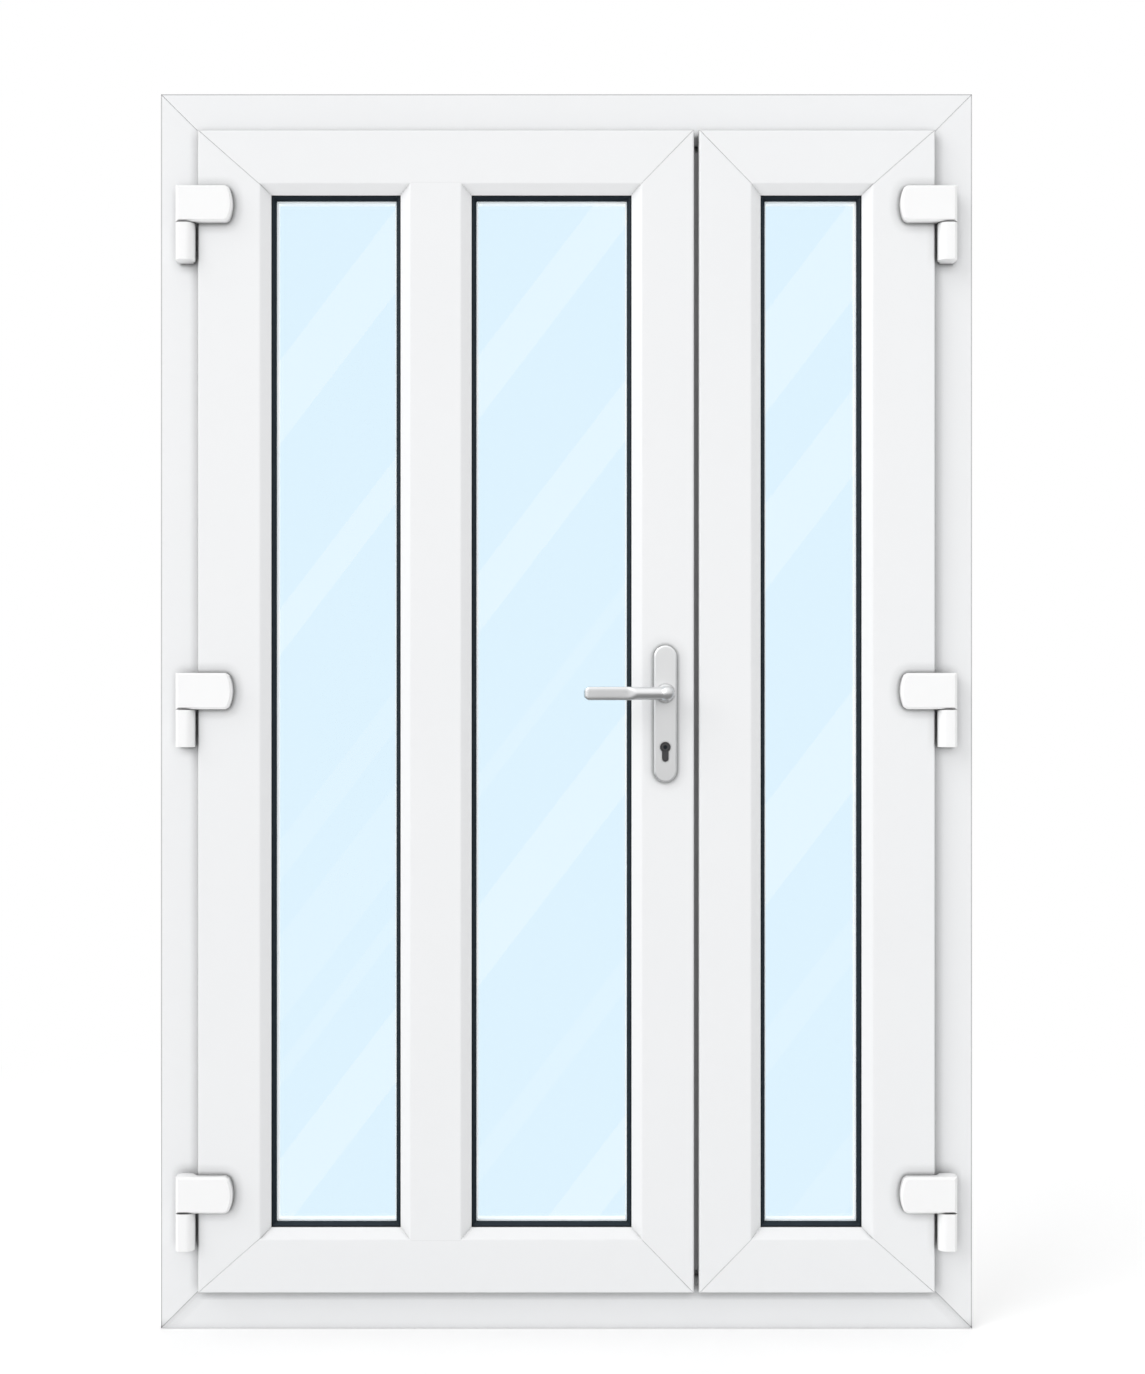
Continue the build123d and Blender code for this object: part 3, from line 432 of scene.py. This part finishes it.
def spacer_strip():
    """White spacer with rows of small vent holes and a faint painted glow."""
    material, nodes, links, bsdf = finish("spacer_strip")
    # Painted light: a faint glow keeps the spacer white though little light reaches it between the
    # panes.
    bsdf.inputs["Emission Color"].default_value = WHITE
    bsdf.inputs["Emission Strength"].default_value = 0.25
    drift = grain(nodes, links, scale=25.0)
    tint(nodes, links, bsdf, drift, (0.94, 0.945, 0.95), (0.97, 0.972, 0.975))
    sheen_range(nodes, links, bsdf, grain(nodes, links, scale=200.0), low=0.45, high=0.60)
    place = nodes.new("ShaderNodeTexCoord")
    holes = nodes.new("ShaderNodeTexVoronoi")
    holes.inputs["Scale"].default_value = 260.0
    holes.inputs["Randomness"].default_value = 0.15
    links.new(place.outputs["Object"], holes.inputs["Vector"])
    relief(nodes, links, bsdf, holes.outputs["Distance"], strength=0.08, depth=0.2 * MM)
    return material


def metal(name, direction, low, high, roughness):
    """Metal with a fine brushed grain, darkened by painted shade in its corners."""
    material, nodes, links, bsdf = finish(name)
    bsdf.inputs["Metallic"].default_value = 1.0
    shades = [painted_corner_shade(nodes, links, *corner) for corner in CORNERS["metal"]]
    tint(nodes, links, bsdf, grain(nodes, links, scale=30.0, detail=3.0), low, high, shades)
    brushed = grain(nodes, links, scale=1500.0, stretch=ALONG[direction])
    sheen_range(nodes, links, bsdf, brushed, *roughness)
    relief(nodes, links, bsdf, brushed, strength=0.04, depth=0.1 * MM)
    return material


LEVER_SILVER = metal(
    "satin_silver_metal", "crosswise", (0.68, 0.685, 0.69), (0.72, 0.725, 0.73), roughness=(0.34, 0.42)
)
# Painted light: the plate's copy of the satin silver is lighter than the lever's, to make up for the
# darker reflections on its flat face.
LIGHTENED_PLATE_SILVER = metal(
    "lightened_plate_silver_metal", "upright", (0.83, 0.835, 0.84), (0.865, 0.87, 0.875), roughness=(0.34, 0.42)
)
BRIGHT_STEEL = metal(
    "bright_steel", "upright", (0.58, 0.58, 0.59), (0.68, 0.68, 0.69), roughness=(0.24, 0.36)
)
CYLINDER_METAL = metal(
    "cylinder_metal", "upright", (0.075, 0.075, 0.078), (0.105, 0.105, 0.108), roughness=(0.34, 0.44)
)
GASKET_RUBBER = rubber(
    "gasket_rubber", (0.009, 0.016, 0.023), (0.015, 0.025, 0.035), corners=CORNERS["gasket"]
)
SEAL_RUBBER = rubber("seal_rubber", (0.33, 0.33, 0.335), (0.39, 0.39, 0.395))
# Painted shade: near-black finish for the flat disc that stands in for the keyhole's dark inside.
KEYHOLE_SHADE = rubber("keyhole_painted_shade", (0.006, 0.010, 0.014), (0.012, 0.018, 0.024))
SLOT_FINISHES = {
    "black_rubber": GASKET_RUBBER,
    "grey_rubber": SEAL_RUBBER,
    "clear_glass": tinted_glass(),
    "white_spacer": spacer_strip(),
    "white_hinge": hinge_paint(),
    "steel": BRIGHT_STEEL,
    "satin_silver": LIGHTENED_PLATE_SILVER,
    "dark_cylinder": CYLINDER_METAL,
}

# White profiles: the part that a word in a node's name stands for, and the plastic of each part's bars
PROFILE_PARTS = {
    "sill": "sill",
    "mullion": "mullion",
    "frame": "frame",
    "main": "leaf",
    "second": "leaf",
    "meeting": "cover",
}
PROFILE_BARS = (
    ("frame", "upright"),
    ("frame", "crosswise"),
    ("sill", "crosswise"),
    ("leaf", "upright"),
    ("leaf", "crosswise"),
    ("mullion", "upright"),
    ("cover", "upright"),
)
PLASTICS = {bar: profile_plastic(*bar) for bar in PROFILE_BARS}
CROSSWISE_WORDS = ("head", "sill", "rail")


def node_finish(name, slot):
    if slot != "white_profile":
        return SLOT_FINISHES[slot]
    crosswise = any(word in name for word in CROSSWISE_WORDS)
    part = next(part for word, part in PROFILE_PARTS.items() if word in name)
    return PLASTICS[part, "crosswise" if crosswise else "upright"]


# Meshes
GENTLE_EDGE = 40.0          # edges under this angle, in degrees, are shaded smooth
FLAT_ANGLE = 0.5            # faces within this angle are merged before edges are rounded
SHARP_EDGE = 25.0           # edges over this angle are rounded
JOIN_DISTANCE = 0.005 * MM


def gentle_shading_group():
    """Modifier group that shades faces smooth and keeps only the sharper edges crisp."""
    group = bpy.data.node_groups.new("gentle_shading", "GeometryNodeTree")
    group.interface.new_socket("Geometry", in_out="INPUT", socket_type="NodeSocketGeometry")
    group.interface.new_socket("Geometry", in_out="OUTPUT", socket_type="NodeSocketGeometry")
    nodes, links = group.nodes, group.links
    start = nodes.new("NodeGroupInput")
    plain = nodes.new("GeometryNodeRemoveAttribute")
    plain.inputs["Name"].default_value = "custom_normal"
    faces = nodes.new("GeometryNodeSetShadeSmooth")
    angle = nodes.new("GeometryNodeInputMeshEdgeAngle")
    gentle = nodes.new("FunctionNodeCompare")
    gentle.operation = "LESS_THAN"
    gentle.inputs["B"].default_value = math.radians(GENTLE_EDGE)
    edges = nodes.new("GeometryNodeSetShadeSmooth")
    edges.domain = "EDGE"
    end = nodes.new("NodeGroupOutput")
    links.new(start.outputs[0], plain.inputs["Geometry"])
    links.new(plain.outputs["Geometry"], faces.inputs["Geometry"])
    links.new(faces.outputs["Geometry"], edges.inputs["Geometry"])
    links.new(angle.outputs["Unsigned Angle"], gentle.inputs["A"])
    links.new(gentle.outputs["Result"], edges.inputs["Shade Smooth"])
    links.new(edges.outputs["Geometry"], end.inputs[0])
    return group


GENTLE_SHADING = gentle_shading_group()


def shade(obj):
    """Smooth rounds beside flat faces that stay flat."""
    shading = obj.modifiers.new("shading", "NODES")
    shading.node_group = GENTLE_SHADING
    flat_faces = obj.modifiers.new("flat_faces", "WEIGHTED_NORMAL")
    flat_faces.keep_sharp = True


def soften(obj, width, segments, merge_flats):
    """Rounds an object's sharp edges."""
    if merge_flats:
        flats = obj.modifiers.new("flats", "DECIMATE")
        flats.decimate_type = "DISSOLVE"
        flats.angle_limit = math.radians(FLAT_ANGLE)
    edges = obj.modifiers.new("edges", "BEVEL")
    edges.width = width
    edges.segments = segments
    edges.limit_method = "ANGLE"
    edges.angle_limit = math.radians(SHARP_EDGE)


def mesh_object(name, bm, material):
    mesh = bpy.data.meshes.new(name)
    bm.to_mesh(mesh)
    bm.free()
    mesh.materials.append(material)
    obj = bpy.data.objects.new(name, mesh)
    SCENE.collection.objects.link(obj)
    return obj


def piece(name, bm, material, body):
    """Adds a modelled piece that rides on a body."""
    bmesh.ops.remove_doubles(bm, verts=bm.verts, dist=JOIN_DISTANCE)
    bmesh.ops.recalc_face_normals(bm, faces=bm.faces)
    obj = mesh_object(name, bm, material)
    shade(obj)
    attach(obj, body)
    return obj


# Soft edges by a word in the node's name: width, segments, and whether flat faces are merged first
EDGE_WIDTHS = {
    "hinge": (1.6 * MM, 3, True),
    "handle_plate": (0.5 * MM, 3, True),
    "gaskets": (1.2 * MM, 3, False),
    "beads": (0.8 * MM, 3, False),
    "lock": (0.3 * MM, 2, True),
    "seal": (0.6 * MM, 2, False),
    "strike": (0.3 * MM, 2, True),
}
CRISP_WORDS = ("stile", "pins")


def edge_width(name):
    if any(word in name for word in CRISP_WORDS):
        return None
    return next((width for word, width in EDGE_WIDTHS.items() if word in name), None)


def dress_nodes():
    """Finish, joined triangles and soft edges for every node of the frame."""
    for name, node in NODES.items():
        slot = node.material_slots[0]
        slot.material = node_finish(name, slot.material.name)
        if name.endswith("_glass"):
            node.visible_shadow = False
            node.visible_diffuse = False
            continue
        join = node.modifiers.new("join", "WELD")
        join.merge_threshold = JOIN_DISTANCE
        width = edge_width(name)
        if width:
            soften(node, *width)
        shade(node)


# Reflections in the glass
CARD_GAP = 0.5              # from the glass to the cards
STREAK_SLOPE = 1.31         # rise over run
STREAK_GLOWS = {"bright": (2.6, 1.9, 1.2), "faint": (1.7, 1.4, 1.1)}

# Streaks of each pane: height of the lower edge at the pane's middle, and how high the streak is
STREAKS = {
    "bright": {
        "main_left": ((1.655, 0.145), (1.290, 0.080), (0.290, 0.130)),
        "main_right": ((1.735, 0.110), (1.365, 0.105), (0.755, 0.140), (0.085, 0.115)),
        "second": ((1.680, 0.175), (1.375, 0.150), (0.830, 0.175)),
    },
    "faint": {
        "main_left": ((0.900, 0.070), (0.655, 0.150), (0.545, 0.040)),
        "main_right": ((1.080, 0.040), (0.415, 0.060)),
        "second": ((0.535, 0.080), (0.120, 0.125)),
    },
}


def card_material(strength):
    """Glows only in sharp reflections and lets every other ray through."""
    material = bpy.data.materials.new(f"{strength}_streak_card")
    material.use_nodes = True
    nodes, links = material.node_tree.nodes, material.node_tree.links
    nodes.clear()
    clear = nodes.new("ShaderNodeBsdfTransparent")
    glow = nodes.new("ShaderNodeEmission")
    glow.inputs["Color"].default_value = (*STREAK_GLOWS[strength], 1.0)
    mirrored = ray_mask(nodes, links, "Is Singular Ray")
    output = nodes.new("ShaderNodeOutputMaterial")
    links.new(mixed(nodes, links, mirrored, clear.outputs[0], glow.outputs[0]), output.inputs[0])
    return material


def streak_cards(camera, strength):
    """Bright slanting cards in front of the door, seen only as streaks mirrored in the panes."""
    eye = camera.location
    bm = bmesh.new()
    for pane in PANES:
        low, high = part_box(f"{pane}_glass")
        fan_out = 1 + CARD_GAP / (low.y - eye.y)
        width = (high.x - low.x) * fan_out
        x = eye.x + ((low.x + high.x) / 2 - eye.x) * fan_out
        for bottom, height in STREAKS[strength][pane]:
            z = eye.z + (bottom + height / 2 - eye.z) * fan_out
            slant = Matrix((
                (width, 0, 0, x),
                (0, 0, 1, low.y - CARD_GAP),
                (width * STREAK_SLOPE, height * fan_out, 0, z),
                (0, 0, 0, 1),
            ))
            bmesh.ops.create_grid(bm, x_segments=1, y_segments=1, size=0.5, matrix=slant)
    cards = mesh_object(f"{strength}_streak_cards", bm, card_material(strength))
    cards.visible_camera = False
    cards.visible_diffuse = False
    cards.visible_transmission = False
    cards.visible_shadow = False


# Handle
NECK_RADIUS = 9.8 * MM
NECK_CLEAR = 1.0 * MM       # from the leaf's face to the neck's end inside the plate
BAR_RADIUS = 11.0 * MM
BALL_RADIUS = 13.4 * MM
GRIP_RADIUS = 11.4 * MM
GRIP_FLATNESS = 0.61        # the grip's thickness over its height
GRIP_SQUARENESS = 5.0       # power of the grip's section; 2 is an ellipse
FLAT_START = 48.0 * MM      # from the spindle to where the bar starts to flatten
FLAT_FULL = 68.0 * MM
TIP_ROUND = 8.5 * MM
ROUND_STEPS = 192
BALL_STEPS = 20
TIP_STEPS = 8
LEVER_STATIONS = 60


def arc_points(centre, radius, start, end, steps):
    """Points on an arc, as distance along the bar and distance from its axis."""
    points = []
    for step in range(steps + 1):
        turn = math.radians(start + (end - start) * step / steps)
        points.append((centre[0] + radius * math.cos(turn), centre[1] + radius * math.sin(turn)))
    return points


def outline(bm, points, place):
    """Open line of edges through points, each placed by a function."""
    verts = [bm.verts.new(place(*point)) for point in points]
    return [bm.edges.new(pair) for pair in zip(verts, verts[1:])]


def spun(bm, edges, centre, axis, steps):
    """Turns a line of edges once round an axis."""
    verts = {vert for edge in edges for vert in edge.verts}
    bmesh.ops.spin(
        bm,
        geom=[*verts, *edges],
        cent=centre,
        axis=axis,
        angle=math.tau,
        steps=steps,
        use_merge=True,
    )


def flat_share(along):
    """0 on the round bar, and 1 on the grip."""
    share = min(max((along - FLAT_START) / (FLAT_FULL - FLAT_START), 0.0), 1.0)
    return share * share * (3 - 2 * share)


def flatten(vert, centre):
    """Moves a point of the round bar onto the grip's section, flat in front and behind."""
    share = flat_share(centre.x - vert.co.x)
    out = Vector((0, vert.co.y - centre.y, vert.co.z - centre.z))
    if share and out.length > JOIN_DISTANCE:
        power = 2 + (GRIP_SQUARENESS - 2) * share
        turn = out.normalized()
        out *= (abs(turn.y) ** power + abs(turn.z) ** power) ** (-1 / power)
        vert.co.y = centre.y + out.y * (1 + (GRIP_FLATNESS - 1) * share)
        vert.co.z = centre.z + out.z


def lever(name, side):
    """Lever on one side of the leaf: ball, round neck and a bar with a flat front and back.
    side is -1 outside and 1 inside."""
    reach = LEAF_MIDDLE - (LEVER_LOW.y + BALL_RADIUS)
    lever_y = LEAF_MIDDLE + side * reach
    length = HANDLE_X - LEVER_LOW.x
    centre = Vector((HANDLE_X, lever_y, HANDLE_Z))
    ball_turn = math.degrees(math.asin(BAR_RADIUS / BALL_RADIUS))
    bar_start = BALL_RADIUS * math.cos(math.radians(ball_turn))
    bar_end = length - TIP_ROUND

    points = arc_points((0, 0), BALL_RADIUS, 180, ball_turn, BALL_STEPS)
    for station in range(1, LEVER_STATIONS + 1):
        along = bar_start + (bar_end - bar_start) * station / LEVER_STATIONS
        points.append((along, BAR_RADIUS + (GRIP_RADIUS - BAR_RADIUS) * flat_share(along)))
    points += arc_points((bar_end, GRIP_RADIUS - TIP_ROUND), TIP_ROUND, 90, 0, TIP_STEPS)[1:]
    points.append((length, 0))

    bm = bmesh.new()
    bar = outline(bm, points, lambda along, out: (HANDLE_X - along, lever_y, HANDLE_Z + out))
    spun(bm, bar, centre, (1, 0, 0), ROUND_STEPS)
    for vert in bm.verts:
        flatten(vert, centre)

    foot_y = LEAF_FRONT - NECK_CLEAR if side < 0 else LEAF_BACK + NECK_CLEAR
    neck_points = [(foot_y, 0.0), (foot_y, NECK_RADIUS), (lever_y, NECK_RADIUS), (lever_y, 0.0)]
    neck = outline(bm, neck_points, lambda y, out: (HANDLE_X, y, HANDLE_Z + out))
    spun(bm, neck, centre, (0, 1, 0), ROUND_STEPS)
    return piece(name, bm, LEVER_SILVER, "handle")


def levers():
    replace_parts(lever("outside_lever", -1), "front_lever")
    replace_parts(lever("inside_lever", 1), "back_lever")


# Lock
PLUG_RADIUS = 6.3 * MM
PLUG_PROUD = 0.8 * MM
PLUG_EDGE = 0.4 * MM
PLUG_STEPS = 48
KEYHOLE_RADIUS = 3.2 * MM
KEYHOLE_RISE = 0.1 * MM
CYLINDER_RADIUS = (CYLINDER_HIGH.x - CYLINDER_LOW.x) / 2
CYLINDER_Z = CYLINDER_HIGH.z - CYLINDER_RADIUS


def turned_on_plug(points, face_y):
    """Round shape about the plug's axis, from distances off the axis and places along it."""
    bm = bmesh.new()
    line = outline(bm, points, lambda out, y: (HANDLE_X, y, CYLINDER_Z + out))
    spun(bm, line, (HANDLE_X, face_y, CYLINDER_Z), (0, 1, 0), PLUG_STEPS)
    return bm


def plug(name, face_y, outwards):
    """Turning plug in the cylinder's face: a low ring round a flat near-black disc, painted shade that
    stands in for the keyhole.
    """
    rim = face_y + outwards * PLUG_PROUD
    edge = rim - outwards * PLUG_EDGE
    ring = [
        (KEYHOLE_RADIUS, face_y),
        (KEYHOLE_RADIUS, edge),
        (KEYHOLE_RADIUS + PLUG_EDGE, rim),
        (PLUG_RADIUS - PLUG_EDGE, rim),
        (PLUG_RADIUS, edge),
        (PLUG_RADIUS, face_y),
    ]
    bm = turned_on_plug(ring, face_y)
    piece(f"{name}_plug", bm, CYLINDER_METAL, "main_leaf")

    # Painted shade: the keyhole is a flat dark disc just proud of the face, not a hole.
    hole_y = face_y + outwards * KEYHOLE_RISE
    bm = turned_on_plug([(0.0, hole_y), (KEYHOLE_RADIUS, hole_y)], face_y)
    piece(f"{name}_keyhole", bm, KEYHOLE_SHADE, "main_leaf")


def plugs():
    plug("outside", CYLINDER_LOW.y, -1)
    plug("inside", CYLINDER_HIGH.y, 1)


# Screws
SCREW_SIDES = 32
HEAD_RISE = 0.35 * MM
HEAD_TOP = 0.9              # the head's flat top, as a share of its radius
CROSS_REACH = 0.62          # cross recess, as a share of the head's radius
CROSS_WAIST = 0.26
CROSS_DEPTH = 0.9 * MM
COLLAR_RISE = 4.0 * MM      # the plate's collar stands this far off its face
PLATE_SCREW_RADIUS = 4.2 * MM
PLATE_SCREW_INSET = 17.0 * MM
STRIP_SCREW_RADIUS = 3.6 * MM
STRIP_SCREW_INSET = 22.0 * MM
STRIP_SCREW_COUNT = 9
STRIKE_SCREW_INSET = 9.0 * MM


def screw_head(bm, centre, outwards, radius):
    """Low countersunk head with a cross recess, facing outwards."""
    up = Vector(outwards)
    turned = Vector((0, 0, 1)).rotation_difference(up).to_matrix().to_4x4()
    matrix = Matrix.Translation(centre) @ turned
    ring = bmesh.ops.create_circle(bm, cap_ends=True, radius=radius, segments=SCREW_SIDES, matrix=matrix)
    foot = ring["verts"][0].link_faces[0]
    top = bmesh.ops.extrude_discrete_faces(bm, faces=[foot])["faces"][0]
    bmesh.ops.translate(bm, verts=top.verts, vec=up * HEAD_RISE)
    middle = top.calc_center_median()
    taper = (HEAD_TOP, HEAD_TOP, HEAD_TOP)
    bmesh.ops.scale(bm, verts=top.verts, vec=taper, space=Matrix.Translation(-middle))
    bmesh.ops.inset_individual(bm, faces=[top], thickness=radius * (HEAD_TOP - CROSS_REACH))
    quarter = SCREW_SIDES // 4
    for index, vert in enumerate(top.verts):
        off_arm = abs(index % quarter - quarter // 2)
        if off_arm > 1:
            vert.co = middle + (vert.co - middle) * CROSS_WAIST / CROSS_REACH
    sunk = bmesh.ops.extrude_discrete_faces(bm, faces=[top])["faces"][0]
    bmesh.ops.translate(bm, verts=sunk.verts, vec=up * -CROSS_DEPTH)


def screw_row(name, places, outwards, radius, body):
    """One piece made of the screw heads at the given places."""
    bm = bmesh.new()
    for place in places:
        screw_head(bm, Vector(place), outwards, radius)
    piece(name, bm, BRIGHT_STEEL, body)


def plate_screws():
    """Two heads on the inside plate."""
    back_face = LEAF_BACK + (LEAF_FRONT - PLATE_LOW.y) - COLLAR_RISE
    heights = (PLATE_LOW.z + PLATE_SCREW_INSET, PLATE_HIGH.z - PLATE_SCREW_INSET)
    places = [(HANDLE_X, back_face, z) for z in heights]
    screw_row("plate_screws", places, (0, 1, 0), PLATE_SCREW_RADIUS, "main_leaf")


def strip_screws():
    """Heads along the lock's long strip, clear of the bolts."""
    low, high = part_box("lock_faceplate")
    bolts_low, bolts_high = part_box("lock_bolts")
    clear = STRIP_SCREW_INSET / 2
    first = low.z + STRIP_SCREW_INSET
    step = (high.z - low.z - 2 * STRIP_SCREW_INSET) / (STRIP_SCREW_COUNT - 1)
    heights = [first + index * step for index in range(STRIP_SCREW_COUNT)]
    places = [
        (high.x, (low.y + high.y) / 2, z)
        for z in heights
        if z < bolts_low.z - clear or z > bolts_high.z + clear
    ]
    screw_row("strip_screws", places, (1, 0, 0), STRIP_SCREW_RADIUS, "main_leaf")


def strike_screws():
    """Two heads on the strike plate."""
    low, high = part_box("strike_plate")
    heights = (low.z + STRIKE_SCREW_INSET, high.z - STRIKE_SCREW_INSET)
    places = [(low.x, (low.y + high.y) / 2, z) for z in heights]
    screw_row("strike_screws", places, (-1, 0, 0), STRIP_SCREW_RADIUS, "second_leaf")


# Scene
camera = straight_on_camera()
studio_world()
soft_sun("key_light", KEY_LEVEL, KEY_FROM)
soft_sun("back_light", BACK_LEVEL, BACK_FROM)
studio_floor()
for strength in STREAKS:
    streak_cards(camera, strength)
dress_nodes()
levers()
plugs()
plate_screws()
strip_screws()
strike_screws()

SCENE.view_settings.view_transform = "Standard"
